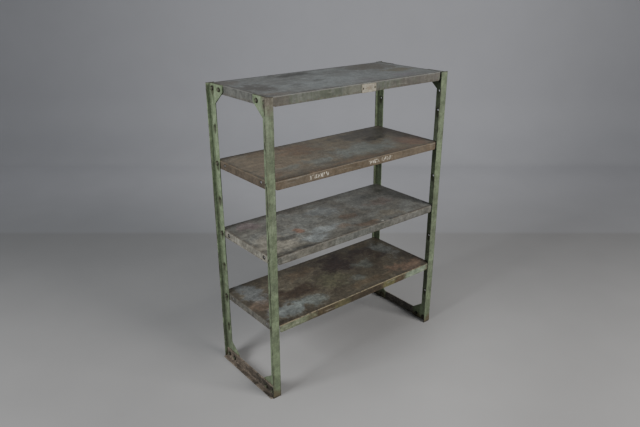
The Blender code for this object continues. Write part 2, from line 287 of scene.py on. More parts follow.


# ---------------------------------------------------------------- the trays' worn paint
# Colours are on the 0 to 255 display scale. base and lip: two colours that a soft noise mixes; end: the end
# lips; rim: bare paint on the folds, which shows within rim_reach of the long edges; on tray 4 it is paler
# and is a painted highlight along the front and back folds. painted_light: painted light and shade, how much
# the top is brightened and the lips dimmed; mottle: strength of the blotches; hole_stain_and_shade: of the
# stains round the unused holes, on tray 3 also painted shade that makes the holes read dark. chalk: stretches
# along X with white dabs on the front lip. A stain is (colour, x, y, reach in x, reach in y, strength), and
# on a lip (colour, x, reach, strength).
ALL_OVER = 10.0          # a rim_reach far past the tray's own width
TRAY_LOOKS = {
    1: {
        "base": ((110, 113, 112), (99, 100, 98)), "lip": ((101, 103, 96), (90, 94, 82)),
        "end": (101, 101, 96), "rim": (86, 84, 80), "rim_reach": ALL_OVER,
        "painted_light": (1.36, 0.90), "mottle": 0.2, "hole_stain_and_shade": 0.35,
        "chalk": (),
        "stains": (
            ((117, 121, 121), -0.06, -0.06, 0.28, 0.11, 0.70),
            ((70, 70, 68), -0.11, 0.165, 0.14, 0.045, 0.90),
            ((74, 71, 67), -0.41, -0.02, 0.07, 0.11, 0.75), ((90, 84, 78), -0.46, 0.17, 0.08, 0.07, 0.60),
            ((82, 82, 80), -0.25, -0.06, 0.04, 0.02, 0.70), ((80, 80, 78), -0.12, -0.02, 0.05, 0.02, 0.60),
            ((84, 84, 80), 0.20, 0.10, 0.04, 0.02, 0.60), ((84, 80, 72), 0.36, 0.12, 0.16, 0.11, 0.80),
            ((92, 87, 70), 0.38, -0.03, 0.11, 0.06, 0.70), ((104, 97, 104), 0.30, -0.15, 0.09, 0.05, 0.45),
            ((100, 96, 100), 0.05, -0.16, 0.08, 0.04, 0.35), ((92, 84, 76), -0.44, -0.17, 0.08, 0.04, 0.60)),
        "lip_stains": (((84, 90, 74), -0.22, 0.10, 0.50), ((112, 110, 98), -0.05, 0.07, 0.45),
                       ((86, 84, 78), 0.06, 0.03, 0.40), ((98, 92, 87), 0.36, 0.20, 0.70),
                       ((96, 86, 80), -0.47, 0.05, 0.55))},
    2: {
        "base": ((100, 93, 81), (88, 84, 76)), "lip": ((101, 90, 75), (92, 80, 64)),
        "end": (92, 82, 70), "rim": (84, 72, 58), "rim_reach": ALL_OVER,
        "painted_light": (1.35, 0.93), "mottle": 0.2, "hole_stain_and_shade": 0.35,
        "chalk": ((-0.31, -0.20), (0.03, 0.18)),
        "stains": (
            ((102, 92, 78), -0.34, 0.02, 0.22, 0.24, 0.75), ((97, 101, 97), -0.35, -0.10, 0.08, 0.04, 0.60),
            ((96, 101, 98), -0.15, -0.10, 0.10, 0.05, 0.60), ((96, 79, 65), -0.12, 0.10, 0.11, 0.10, 0.60),
            ((104, 108, 104), 0.15, -0.07, 0.22, 0.09, 0.85), ((72, 70, 66), 0.30, 0.13, 0.22, 0.08, 0.75),
            ((55, 53, 49), 0.32, 0.04, 0.09, 0.045, 0.85), ((70, 65, 59), 0.47, 0.06, 0.06, 0.16, 0.70),
            ((104, 83, 71), 0.39, -0.12, 0.09, 0.08, 0.65), ((98, 83, 68), 0.0, -0.195, 0.50, 0.025, 0.60),
            ((84, 74, 62), -0.30, 0.17, 0.12, 0.04, 0.60), ((90, 76, 64), -0.42, -0.12, 0.07, 0.05, 0.55)),
        "lip_stains": (((108, 98, 84), -0.36, 0.10, 0.60), ((84, 74, 58), -0.08, 0.09, 0.50),
                       ((94, 86, 74), 0.32, 0.14, 0.55))},
    3: {
        "base": ((101, 102, 98), (90, 88, 82)), "lip": ((104, 103, 97), (92, 92, 84)),
        "end": (138, 134, 123), "rim": (78, 72, 64), "rim_reach": ALL_OVER,
        "painted_light": (1.31, 0.92), "mottle": 0.3, "hole_stain_and_shade": 0.95,
        "chalk": (),
        "stains": (
            ((96, 83, 84), -0.40, 0.15, 0.08, 0.07, 0.65), ((121, 117, 106), -0.40, -0.10, 0.14, 0.13, 0.75),
            ((119, 124, 124), -0.22, -0.15, 0.08, 0.04, 0.75),
            ((118, 123, 123), -0.12, -0.10, 0.09, 0.04, 0.70),
            ((108, 112, 112), 0.0, 0.07, 0.10, 0.06, 0.60),
            ((110, 84, 70), -0.245, -0.045, 0.034, 0.034, 0.80),
            ((66, 66, 64), -0.33, -0.07, 0.06, 0.025, 0.75), ((66, 66, 64), -0.32, -0.20, 0.06, 0.018, 0.75),
            ((98, 82, 69), 0.06, -0.05, 0.06, 0.03, 0.60), ((95, 80, 67), -0.05, -0.13, 0.06, 0.03, 0.60),
            ((98, 82, 68), 0.07, -0.175, 0.08, 0.03, 0.65), ((105, 98, 84), 0.25, -0.15, 0.10, 0.05, 0.55),
            ((97, 83, 76), 0.30, 0.0, 0.10, 0.05, 0.55), ((66, 66, 62), 0.47, 0.06, 0.06, 0.18, 0.65),
            ((68, 68, 64), 0.33, 0.09, 0.08, 0.04, 0.65), ((74, 70, 64), -0.10, 0.19, 0.30, 0.025, 0.60),
            ((178, 176, 166), 0.15, -0.20, 0.010, 0.005, 0.95)),
        "lip_stains": (((112, 108, 98), -0.30, 0.14, 0.60), ((104, 107, 104), -0.04, 0.14, 0.50),
                       ((110, 108, 104), 0.30, 0.14, 0.50))},
    4: {
        "base": ((64, 58, 49), (78, 73, 62)), "lip": ((82, 72, 53), (70, 60, 44)),
        "end": (102, 99, 91), "rim": (112, 102, 80), "rim_reach": 0.012,
        "painted_light": (1.42, 0.95), "mottle": 0.3, "hole_stain_and_shade": 0.35,
        "chalk": (),
        "stains": (
            ((92, 95, 95), -0.42, 0.10, 0.07, 0.13, 0.80), ((100, 106, 105), -0.37, -0.12, 0.12, 0.07, 0.75),
            ((98, 104, 101), -0.23, -0.12, 0.10, 0.06, 0.65), ((86, 91, 87), 0.08, -0.10, 0.07, 0.035, 0.60),
            ((92, 78, 66), -0.45, -0.02, 0.06, 0.06, 0.60), ((50, 40, 32), -0.25, -0.02, 0.13, 0.07, 0.85),
            ((78, 77, 61), -0.02, -0.02, 0.11, 0.09, 0.75), ((42, 33, 31), 0.10, 0.09, 0.13, 0.12, 0.85),
            ((44, 35, 32), 0.30, 0.11, 0.08, 0.06, 0.80), ((46, 38, 34), 0.36, 0.02, 0.06, 0.03, 0.75),
            ((98, 101, 98), 0.42, 0.07, 0.06, 0.12, 0.75), ((80, 71, 55), 0.36, 0.18, 0.09, 0.04, 0.60),
            ((84, 88, 83), 0.22, 0.0, 0.07, 0.05, 0.65), ((104, 86, 72), 0.40, -0.15, 0.13, 0.06, 0.75),
            ((88, 76, 60), 0.12, -0.16, 0.14, 0.03, 0.50), ((80, 68, 54), -0.12, 0.12, 0.10, 0.05, 0.50)),
        "lip_stains": (((58, 50, 38), -0.02, 0.18, 0.75), ((114, 121, 98), -0.43, 0.13, 0.95),
                       ((104, 102, 70), -0.12, 0.05, 0.50),
                       ((110, 108, 72), 0.19, 0.05, 0.85), ((84, 66, 46), 0.26, 0.03, 0.60),
                       ((128, 140, 120), 0.39, 0.13, 0.95))},
}


def tray_paint(number):
    """Worn grey-green paint: stains on the top, brushed lips, wipe marks, scratches, grime and rust."""
    look = TRAY_LOOKS[number]
    lo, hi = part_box(f"tray_{number}")
    # painted light and shade: the tops' colours are brightened and the lips' dimmed, for more light on the
    # tops than the lamps give
    painted_light, lip_painted_light = look["painted_light"]
    p = Paint(f"tray_{number}_worn_paint")
    x, y, z = p.axes
    seed = 2.3 * number
    drop = p.math("SUBTRACT", hi[2], z)
    wide = p.math("SUBTRACT", hi[0], p.math("ABSOLUTE", x))
    deep = p.math("SUBTRACT", hi[1], p.math("ABSOLUTE", y))
    inward = p.math("MINIMUM", wide, deep)

    pushed = p.warped(0.09, 7.0, (seed, seed, 0.0))
    rough_edge = p.noise(17.0, 9.0, 0.74, where=p.stretch(shift=(seed, 0.0, seed)))
    ragged = p.math("MULTIPLY_ADD", rough_edge, 3.4, -1.7)

    cloud = p.noise(6.0, 6.0, 0.6, where=p.stretch(shift=(0.0, seed, 0.0)), warp=0.6)
    top = p.mix(p.step(cloud, 0.36, 0.62), tone(*look["base"][0], painted_light), tone(*look["base"][1], painted_light))
    for color, at_x, at_y, reach_x, reach_y, strength in look["stains"]:
        mask = p.blot(pushed, (at_x, at_y, hi[2]), (reach_x, reach_y, 1.0), 0.45, ragged)
        top = p.over(top, mask, strength, tone(*color, painted_light))

    brushed = p.noise(1.0, 6.0, 0.68, where=p.stretch((55.0, 55.0, 18.0), (seed, 0.0, 0.0)))
    lip = p.mix(p.step(brushed, 0.40, 0.60), tone(*look["lip"][0], lip_painted_light), tone(*look["lip"][1], lip_painted_light))
    for color, at_x, reach, strength in look["lip_stains"]:
        mask = p.blot(pushed, (at_x, lo[1], lo[2]), (reach, 0.2, 1.0), 0.35, ragged)
        lip = p.over(lip, mask, strength, tone(*color, lip_painted_light))
    for low, high in look["chalk"]:
        dabs = p.step(p.noise(1.0, 3.0, 0.6, where=p.stretch((190.0, 1.0, 60.0))), 0.53, 0.57)
        field = p.both(p.step(x, low, low + 0.006), p.step(x, high, high - 0.006), p.step(drop, 0.008, 0.011),
                       p.step(drop, 0.029, 0.025), p.step(y, 0.0, -0.2))
        lip = p.over(lip, p.both(dabs, field), 0.90, tone(204, 198, 184, lip_painted_light))
    end = p.mix(p.step(brushed, 0.42, 0.60), tone(*look["end"], lip_painted_light),
                tone(*(0.86 * v for v in look["end"]), lip_painted_light))
    lip = p.mix(p.step(wide, 0.0030, 0.0010), lip, end)
    color = p.mix(p.step(drop, 0.0025, 0.0045), top, lip)

    # stained rims round the unused holes in the end lips; on tray 3 the rims are nearly black, painted shade
    # that makes the holes read dark
    up = p.math("SUBTRACT", z, TRAY_BOLTS_Z[number - 1])
    along = p.math("SUBTRACT", p.math("ABSOLUTE", y), INNER_HOLE_Y)
    ring = p.math("SQRT", p.math("MULTIPLY_ADD", up, up, p.math("MULTIPLY", along, along)))
    ring = p.both(p.step(p.math("MULTIPLY_ADD", rough_edge, 0.008, ring), 0.0155, 0.0125),
                  p.step(wide, 0.004, 0.003))
    color = p.over(color, ring, look["hole_stain_and_shade"], tone(34, 28, 22, lip_painted_light))

    # wipe marks and long scratches
    wipes = p.noise(1.0, 4.0, 0.6, where=p.stretch((3.0, 34.0, 34.0), turn=0.12))
    color = p.shaded(color, p.step(wipes, 0.3, 0.7, 0.90, 1.09))
    for turn, amount in ((0.35, 0.30), (-0.9, 0.22)):
        line = p.noise(1.0, 2.0, 0.5, where=p.stretch((9.0, 420.0, 60.0), (seed, 0.0, 0.0), turn))
        color = p.over(color, p.step(line, 0.66, 0.72), amount, tone(136, 133, 124, painted_light))

    # grime against the rims, dark specks, worn paint on the folds, which on tray 4 is a paler painted
    # highlight
    color, blotch = grained(p, color, seed, look["mottle"])
    grime = p.both(p.step(inward, 0.028, 0.003), p.step(drop, 0.003, 0.001), p.step(rough_edge, 0.40, 0.54))
    color = p.over(color, grime, 0.60, tone(50, 46, 40, painted_light))
    specks = chips(p, 150.0, 0.655, seed)
    color = p.over(color, specks, 0.60, tone(52, 46, 40, painted_light))
    rust = p.both(chips(p, 60.0, 0.63, seed + 5.0), p.step(cloud, 0.46, 0.6))
    color = p.over(color, rust, 0.40, tone(92, 72, 56, painted_light))
    fold = p.math("MAXIMUM", p.math("SUBTRACT", 0.0045, wide), p.math("SUBTRACT", 0.0045, deep))
    fold = p.both(p.step(p.math("ABSOLUTE", p.math("SUBTRACT", fold, 0.0028)), 0.0030, 0.0005),
                  p.step(drop, 0.0050, 0.0030))
    # worn paint on the folds; on tray 4 the paler colour near the front and back edges is a painted highlight
    worn = p.both(fold, p.step(p.noise(34.0, 5.0, 0.7), 0.40, 0.52), p.step(deep, look["rim_reach"], 0.0))
    color = p.over(color, worn, 0.80, tone(*look["rim"], painted_light))
    below = p.both(p.step(drop, 0.030, 0.034), p.step(p.noise(60.0, 4.0, 0.7), 0.42, 0.6))
    color = p.over(color, below, 0.45, tone(62, 52, 42, painted_light))

    roughness = p.step(blotch, 0.3, 0.7, 0.46, 0.66)
    roughness = p.math("ADD", roughness, p.math("MULTIPLY", rust, 0.15))
    height = p.math("ADD", blotch, p.math("MULTIPLY", p.math("ADD", specks, worn), -0.5))
    height = p.math("ADD", height, p.math("MULTIPLY", p.noise(420.0, 2.0, 0.5), 0.35))
    return p.finish(color, roughness, height, 0.35, 0.0006, specular=0.35)


# ---------------------------------------------------------------- posts, rails, bolts, label, paper
def sage_paint():
    """Old sage green with darker and paler runs, rusty feet, dark streaks on the flange edges, grime round
    the bolts, and painted light on the back posts.
    """
    p = Paint("post_sage_paint")
    x, y, z = p.axes
    face_y = -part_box("post_front_right")[0][1]
    cloud = p.noise(7.0, 6.0, 0.62)
    runs = p.noise(1.0, 5.0, 0.62, where=p.stretch((60.0, 60.0, 4.0)))
    color = p.mix(p.step(cloud, 0.40, 0.60), tone(112, 125, 98), tone(98, 107, 86))
    color = p.over(color, p.step(runs, 0.52, 0.66), 0.55, tone(76, 80, 60))
    color = p.over(color, p.step(runs, 0.44, 0.32), 0.50, tone(128, 138, 116))
    color, blotch = grained(p, color, 1.0, 0.24, 0.14)

    # rust and dirt climb from the feet, the soles are nearly black, and the front left top is rubbed dull
    climb = p.math("MULTIPLY_ADD", cloud, 0.10, p.math("MULTIPLY", runs, 0.10))
    foot = p.step(p.math("SUBTRACT", z, climb), -0.045, -0.085)
    color = p.over(color, foot, 0.75, tone(84, 70, 52))
    sole = p.step(p.math("MULTIPLY_ADD", blotch, -0.012, z), 0.002, -0.003)
    color = p.over(color, sole, 0.85, tone(42, 36, 28))
    front_left_top = (-SPAN - 0.0020, -face_y + 0.0019, POST_HEIGHT - 0.0099)
    crown = p.blot(p.warped(0.03, 18.0), front_left_top, (0.05, 0.05, 0.055), 0.4,
                   p.math("MULTIPLY_ADD", blotch, 2.0, -1.0))
    bruise = p.mix(p.step(p.noise(90.0, 6.0, 0.72), 0.42, 0.58), tone(82, 70, 64), tone(110, 99, 92))
    color = p.over(color, crown, 0.75, bruise)

    # dark streaks along the flange edges, a darker crease beside the web, bare tips, and chips all over;
    # upright is the depth with the posts' lean taken out, and from_web the distance from the web's middle
    lean = p.math("MULTIPLY_ADD", z, -POST_LEAN / POST_HEIGHT, POST_LEAN)
    upright = p.math("ADD", p.math("ABSOLUTE", y), lean)
    from_web = p.math("ABSOLUTE", p.math("SUBTRACT", p.math("ABSOLUTE", x), SPAN + STEEL / 2))
    dark_edge_streaks = p.both(p.step(from_web, 0.0180, 0.0196),
                     p.step(p.noise(1.0, 7.0, 0.74, where=p.stretch((110.0, 110.0, 13.0))), 0.47, 0.51))
    color = p.over(color, dark_edge_streaks, 0.85, tone(38, 34, 27))
    crease = p.both(p.step(from_web, 0.0060, 0.0028), p.step(upright, face_y - 0.018, face_y - 0.008),
                    p.step(upright, face_y - 0.0030, face_y - 0.0045), p.step(blotch, 0.36, 0.52))
    color = p.over(color, crease, 0.55, tone(46, 46, 34))
    tip = p.both(p.step(p.math("SUBTRACT", POST_HEIGHT, z), 0.0035, 0.0010), p.step(blotch, 0.36, 0.50))
    color = p.over(color, tip, 0.80, tone(48, 42, 34))
    specks = chips(p, 170.0, 0.64, 2.0, (1.0, 1.0, 0.55))
    color = p.over(color, specks, 0.70, tone(48, 44, 34))
    flakes = p.both(chips(p, 70.0, 0.66, 9.0, (1.0, 1.0, 0.4)), p.step(cloud, 0.40, 0.55))
    color = p.over(color, flakes, 0.60, tone(88, 70, 50))

    # grime round each bolt and hole, with a run below it
    row = p.math("SUBTRACT", upright, HOLE_Y)
    nearest = None
    for hole_z in TRAY_BOLTS_Z + FREE_HOLE_Z + (RAIL_BOLT_Z,):
        rise = p.math("SUBTRACT", z, hole_z)
        rise = p.math("MAXIMUM", rise, p.math("MULTIPLY", rise, -0.35))
        nearest = rise if nearest is None else p.math("MINIMUM", nearest, rise)
    ring = p.math("SQRT", p.math("ADD", p.math("MULTIPLY", row, row), p.math("MULTIPLY", nearest, nearest)))
    grime = p.both(p.step(p.math("MULTIPLY_ADD", blotch, 0.012, ring), 0.021, 0.015),
                   p.step(from_web, 0.0042, 0.0030))
    color = p.over(color, grime, 0.75, tone(46, 43, 32))

    # painted light: the back posts' colour is brightened and the front posts' dimmed, for more light on the
    # back posts than the lamps give
    color = p.shaded(color, p.step(y, -0.12, 0.12, 0.955, 1.13))

    roughness = p.step(blotch, 0.3, 0.7, 0.50, 0.68)
    height = p.math("ADD", blotch, p.math("MULTIPLY", p.math("ADD", specks, dark_edge_streaks), -0.6))
    height = p.math("ADD", height, p.math("MULTIPLY", p.noise(420.0, 2.0, 0.5), 0.35))
    return p.finish(color, roughness, height, 0.35, 0.0006, specular=0.35)


def rail_steel(side, near, far):
    """Rusted angle iron, from the near (front) colour to the far (back) one."""
    p = Paint(f"rail_{side}_rusted_steel")
    y, z = p.axes[1], p.axes[2]
    cloud = p.noise(22.0, 7.0, 0.7)
    along = p.step(p.math("MULTIPLY_ADD", cloud, 0.30, y), -0.04, 0.26)
    color = p.mix(along, tone(*near), tone(*far))
    rust = p.step(p.noise(75.0, 8.0, 0.74, where=p.stretch((1.0, 0.6, 1.0))), 0.47, 0.56)
    pitted = p.step(p.noise(130.0, 8.0, 0.74, where=p.stretch(shift=(4.0, 1.0, 2.0))), 0.50, 0.56)
    color = p.over(color, rust, 0.60, tone(*(1.18 * v for v in far)))
    color = p.over(color, pitted, 0.75, tone(*(0.45 * v for v in near)))
    # the upright's top edge and the foot are paler: partly rubbed steel, partly a painted highlight where
    # they face up to the lamps
    at_edges = p.math("MAXIMUM", p.step(z, 0.040, 0.0445), p.step(z, 0.0075, 0.0050))
    rubbed = p.both(at_edges, p.step(cloud, 0.42, 0.54))
    color = p.over(color, rubbed, 0.55, tone(*(1.30 * v for v in far)))
    color, blotch = grained(p, color, 4.0, 0.30, 0.16)
    height = p.math("SUBTRACT", blotch, p.math("MULTIPLY", pitted, 0.5))
    return p.finish(color, p.step(blotch, 0.3, 0.7, 0.55, 0.78), height, 0.5, 0.0008, specular=0.3)


def bolt_oxide():
    """Oxidised bolts with traces of the rack's green on their heads; X is the bolt's own axis."""
    p = Paint("bolt_dark_oxide")
    out = p.axes[0]
    cloud = p.noise(140.0, 5.0, 0.68)
    color = p.mix(p.step(cloud, 0.36, 0.64), tone(36, 34, 27), tone(66, 62, 50))
    painted = p.both(p.step(out, 0.0056, 0.0062), p.step(p.noise(190.0, 5.0, 0.7), 0.40, 0.52))
    color = p.over(color, painted, 0.75, tone(92, 98, 78))
    # the washer is darkened: partly grime, partly a painted contact shadow round the head
    washer_grime_and_shade = p.both(p.step(out, 0.0020, 0.0012), p.step(out, -0.002, 0.0))
    color = p.over(color, washer_grime_and_shade, 0.70, tone(30, 26, 20))
    color, _ = grained(p, color, 6.0, 0.25, 0.15)
    height = p.math("ADD", cloud, p.math("MULTIPLY", p.noise(600.0, 2.0, 0.5), 0.3))
    return p.finish(color, p.step(cloud, 0.3, 0.7, 0.42, 0.66), height, 0.3, 0.0004,
                    metallic=0.25, specular=0.45)


def label_enamel():
    """Cream plate with a thin border line and rubbed-out print that spells nothing."""
    lo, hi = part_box("label_plate")
    p = Paint("label_cream_enamel")
    x, z = p.axes[0], p.axes[2]
    half_x, half_z = (hi[0] - lo[0]) / 2, (hi[2] - lo[2]) / 2
    from_x = p.math("ABSOLUTE", p.math("SUBTRACT", x, lo[0] + half_x))
    from_z = p.math("ABSOLUTE", p.math("SUBTRACT", z, lo[2] + half_z))
    cloud = p.noise(60.0, 6.0, 0.66)
    color = p.mix(p.step(cloud, 0.38, 0.62), tone(154, 149, 134), tone(136, 129, 114))
    field = p.both(p.step(from_x, 0.024, 0.020), p.step(from_z, 0.013, 0.011))
    rows = p.step(p.math("SINE", p.math("MULTIPLY", from_z, 900.0)), 0.1, 0.5)
    strokes = p.step(p.noise(1.0, 4.0, 0.7, where=p.stretch((420.0, 1.0, 90.0))), 0.46, 0.56)
    printed = p.both(field, rows, strokes)
    color = p.over(color, printed, 0.50, tone(98, 80, 62))
    rubbed = p.both(p.blot(p.place, (lo[0] + half_x, lo[1], lo[2] + half_z), (0.017, 1.0, 0.010), 0.3),
                    p.step(p.noise(150.0, 6.0, 0.72), 0.44, 0.58))
    color = p.over(color, rubbed, 0.60, tone(104, 82, 62))
    stained = None
    for rivet_side in SIDES:
        a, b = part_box(f"label_rivet_{rivet_side}")
        centre = ((a[0] + b[0]) / 2, lo[1], (a[2] + b[2]) / 2)
        ring = p.blot(p.place, centre, (0.0058, 1.0, 0.0058), 0.55)
        stained = ring if stained is None else p.math("MAXIMUM", stained, ring)
    color = p.over(color, stained, 0.85, tone(52, 44, 34))
    to_edge = p.math("MINIMUM", p.math("SUBTRACT", half_x, from_x), p.math("SUBTRACT", half_z, from_z))
    border = p.step(p.math("ABSOLUTE", p.math("SUBTRACT", to_edge, 0.0022)), 0.0008, 0.0003)
    color = p.over(color, border, 0.35, tone(104, 92, 74))
    worn = p.both(p.step(to_edge, 0.0030, 0.0), p.step(cloud, 0.42, 0.58))
    color = p.over(color, worn, 0.70, tone(92, 82, 66))
    color, blotch = grained(p, color, 3.0, 0.14, 0.10)
    return p.finish(color, p.step(blotch, 0.3, 0.7, 0.38, 0.58), cloud, 0.2, 0.0004, specular=0.45)


def studio_paper(forward, across, back):
    """Grey paper with painted light and shade: palest in front, darker towards a line behind the rack, cooler
    and paler beyond it, and darker at the sides.

    ahead is measured from the rack, and off is how far to the side a place lies, as a share of its
    distance from a point that stands back from the rack.
    """
    p = Paint("studio_paper")
    ahead = p.vector("DOT_PRODUCT", p.place, forward, "Value")
    aside = p.vector("DOT_PRODUCT", p.place, across, "Value")
    off = p.math("DIVIDE", aside, p.math("MAXIMUM", p.math("ADD", ahead, back), 0.5))
    # painted light and shade: the paper darkens from the front towards the line behind the rack and grows
    # paler again beyond it
    near = p.mix(p.step(ahead, -0.9, 1.3), (0.365, 0.358, 0.354), (0.310, 0.307, 0.307))
    far = p.mix(p.step(ahead, 1.2, 2.8), (0.350, 0.350, 0.362), (0.520, 0.520, 0.545))
    wall = (0.408, 0.410, 0.436)
    color = p.mix(p.step(ahead, 1.33, 1.40), near, p.mix(p.step(ahead, 2.95, 3.45), far, wall))
    # painted shade: darker towards both sides
    for low, high, at_low, at_high in ((-0.5, 0.0, 0.80, 1.0), (0.20, 0.50, 1.0, 0.80)):
        color = p.shaded(color, p.step(off, low, high, at_low, at_high))
    # painted light and shade on the floor to the left: darker in front, paler further back
    left_floor = p.both(p.step(off, 0.20, -0.15), p.step(ahead, 3.3, 2.9))
    painted_light_left = p.shaded(color, p.step(ahead, -0.7, 0.8, 0.90, 1.13))
    color = p.mix(left_floor, color, painted_light_left)
    # the deepest part of the soft shadow, under and in front of the bottom tray
    pool = p.vector("LENGTH", p.stretch((1.0 / 0.75, 1.0 / 0.55, 1.0), (-0.16, 0.16, 0.0)), wanted="Value")
    color = p.shaded(color, p.step(pool, 1.0, 0.2, 1.0, 0.82))
    cloud = p.noise(3.0, 3.0, 0.5)
    color = p.shaded(color, p.step(cloud, 0.3, 0.7, 0.985, 1.015))
    return p.finish(color, p.step(cloud, 0.3, 0.7, 0.74, 0.80), p.noise(400.0, 2.0), 0.05, 0.0003)


# ---------------------------------------------------------------- trays
TINY = 1e-5
TRAY_BEND = 0.0045           # outer radius of the folds
LIP_CORNER = 0.010           # radius of the lips' lower corners
TOP_SAG, TOP_WAVE, LONG_LIP_WAVE, END_LIP_WAVE = 0.0012, 0.0012, 0.0006, 0.0005
FLAT_RIM = 0.05              # the top's waves fade over this width at its rim


def folds(end, bend, lip, notch, inner):
    """Stations along one axis of the unfolded sheet: (unfolded place, place, drop below the top).

    inner steps lead from the middle to the corner cut-out, then come the bend and the lip, whose stations
    close up towards its lower edge, where the corners are round.
    """
    out = [(i / inner * notch, i / inner * notch, 0.0) for i in range(inner + 1)]
    flat = end - bend
    if flat > notch + TINY:
        out.append((flat, flat, 0.0))
    bend_steps = 5
    for k in range(1, bend_steps + 1):
        a = k / bend_steps * math.pi / 2
        out.append((flat + bend * a, flat + bend * math.sin(a), bend * (1 - math.cos(a))))
    run = flat + bend * math.pi / 2
    for share in (0.25, 0.5, 0.72, 0.86, 0.95, 1.0):
        down = share * (lip - bend)
        out.append((run + down, end, bend + down))
    return [(-s, -x, d) for s, x, d in reversed(out[1:])] + out


def tray(number, material):
    """One pressed sheet: top and four lips in one skin, open at the corner cut-outs, then thickened."""
    lo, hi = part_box(f"tray_{number}")
    lip = hi[2] - lo[2]
    us = folds(hi[0], TRAY_BEND, lip, NOTCH_X, 22)
    vs = folds(hi[1], TRAY_BEND, lip, NOTCH_Y, 10)
    bm = bmesh.new()
    verts = {}

    def vert(i, j):
        if (i, j) in verts:
            return verts[i, j]
        (su, x, drop_u), (sv, y, drop_v) = us[i], vs[j]
        drop = drop_u + drop_v
        inset, left = 0.0, lip - drop
        if left < LIP_CORNER:
            inset = LIP_CORNER - math.sqrt(max(LIP_CORNER ** 2 - (LIP_CORNER - left) ** 2, 0.0))
        if drop_v > TRAY_BEND and abs(abs(su) - NOTCH_X) < TINY:
            x -= math.copysign(inset, x)
        if drop_u > TRAY_BEND and abs(abs(sv) - NOTCH_Y) < TINY:
            y -= math.copysign(inset, y)
        z = hi[2] - drop
        if drop < TINY:
            wave = noise.noise(Vector((x * 4.0, y * 4.0, number * 7.3)))
            share = min(1.0, (hi[1] - abs(y)) / FLAT_RIM, (hi[0] - abs(x)) / FLAT_RIM)
            z -= share * (TOP_SAG + TOP_WAVE * wave)
        elif drop_v > TRAY_BEND:
            wave = 1 + noise.noise(Vector((x * 9.0, y, number)))
            y -= math.copysign(LONG_LIP_WAVE * wave * (drop / lip), y)
        elif drop_u > TRAY_BEND:
            wave = 1 + noise.noise(Vector((x, y * 9.0, number)))
            x -= math.copysign(END_LIP_WAVE * wave * (drop / lip), x)
        verts[i, j] = bm.verts.new((x, y, z))
        return verts[i, j]

    for i in range(len(us) - 1):
        for j in range(len(vs) - 1):
            inside_x = max(abs(us[i][0]), abs(us[i + 1][0])) <= NOTCH_X + TINY
            inside_y = max(abs(vs[j][0]), abs(vs[j + 1][0])) <= NOTCH_Y + TINY
            if inside_x or inside_y:
                bm.faces.new((vert(i, j), vert(i + 1, j), vert(i + 1, j + 1), vert(i, j + 1)))
    bmesh.ops.recalc_face_normals(bm, faces=bm.faces)
    if sum(f.normal.z for f in bm.faces) < 0:
        bmesh.ops.reverse_faces(bm, faces=bm.faces)
    mesh = bpy.data.meshes.new(f"tray_{number}_sheet")
    bm.to_mesh(mesh)
    bm.free()
    obj = bpy.data.objects.new(f"tray_{number}_sheet", mesh)
    bpy.context.scene.collection.objects.link(obj)
    skin = obj.modifiers.new("sheet", "SOLIDIFY")
    skin.thickness, skin.offset, skin.use_even_offset = SHEET, -1.0, True
    baked(obj)
    bolt_z = TRAY_BOLTS_Z[number - 1]
    drill(obj, [(sx * (SPAN - SHEET), sy * y, bolt_z) for sx in (-1, 1) for sy in (-1, 1)
                for y in (leaned(HOLE_Y, bolt_z), INNER_HOLE_Y)], 2 * SHEET)
    obj.data.shade_smooth()
    obj.data.set_sharp_from_angle(angle=math.radians(45))
    level(obj)
    obj.data.materials.clear()
    obj.data.materials.append(material)
    node = f"tray_{number}"
    on_rack(obj, f"{node}_paint", node, f"{node}_end_left", f"{node}_end_right")


# ---------------------------------------------------------------- posts, gussets, rails
def post(side, face, material):
    """Leaning T bar with rolled roots and toes, drilled on one line."""
    sx, sy = SIDES[side], FACES[face]
    name = f"post_{face}_{side}"
    lo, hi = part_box(name)
    x_in, x_out = sorted((abs(lo[0]), abs(hi[0])))
    face_y = max(abs(lo[1]), abs(hi[1]))
    back = face_y - STEEL
    web_end, root, toe, arris = 0.0012, 0.004, 0.0025, 0.0008
    outline = rounded(((SPAN, WEB_EDGE_Y, web_end), (SPAN + STEEL, WEB_EDGE_Y, web_end),
                       (SPAN + STEEL, back, root), (x_out, back, toe), (x_out, face_y, arris),
                       (x_in, face_y, arris), (x_in, back, toe), (SPAN, back, root)))
    lengths = 20
    bm = bmesh.new()
    loft(bm, [[(sx * x, sy * leaned(y, z), z) for x, y in outline]
              for z in (i / lengths * POST_HEIGHT for i in range(lengths + 1))])
    obj = to_object(f"{name}_bar", bm)
    heights = TRAY_BOLTS_Z + FREE_HOLE_Z + (RAIL_BOLT_Z,)
    if (side, face) == ("right", "front"):
        heights += (SPARE_HOLE_Z,)
    drill(obj, [(sx * (SPAN + STEEL / 2), sy * leaned(HOLE_Y, z), z) for z in heights], STEEL)
    obj.data.materials.append(material)
    level(obj)
    on_rack(obj, "post_paint", name)


def weld_bead(bm, sx, sy, x_face, out, z_from, z_to):
    """Rippled bead up the seam between a gusset and its web, on the face at x_face."""
    count, half_width, flatness, sunk = 40, 0.0021, 0.55, 0.0004
    rings = []
    for k in range(count + 1):
        z = z_from + (z_to - z_from) * (0.03 + 0.94 * k / count)
        y = leaned(WEB_EDGE_Y, z) - GAP / 2
        size = half_width * (1.0 + 0.18 * math.sin(k * 1.9)) * (0.35 if k in (0, count) else 1.0)
        rings.append([(sx * (x_face + out * (size * flatness * math.cos(a) - sunk)),
                       sy * (y + 1.5 * size * math.sin(a)), z) for a in circle(10)])
    loft(bm, rings)


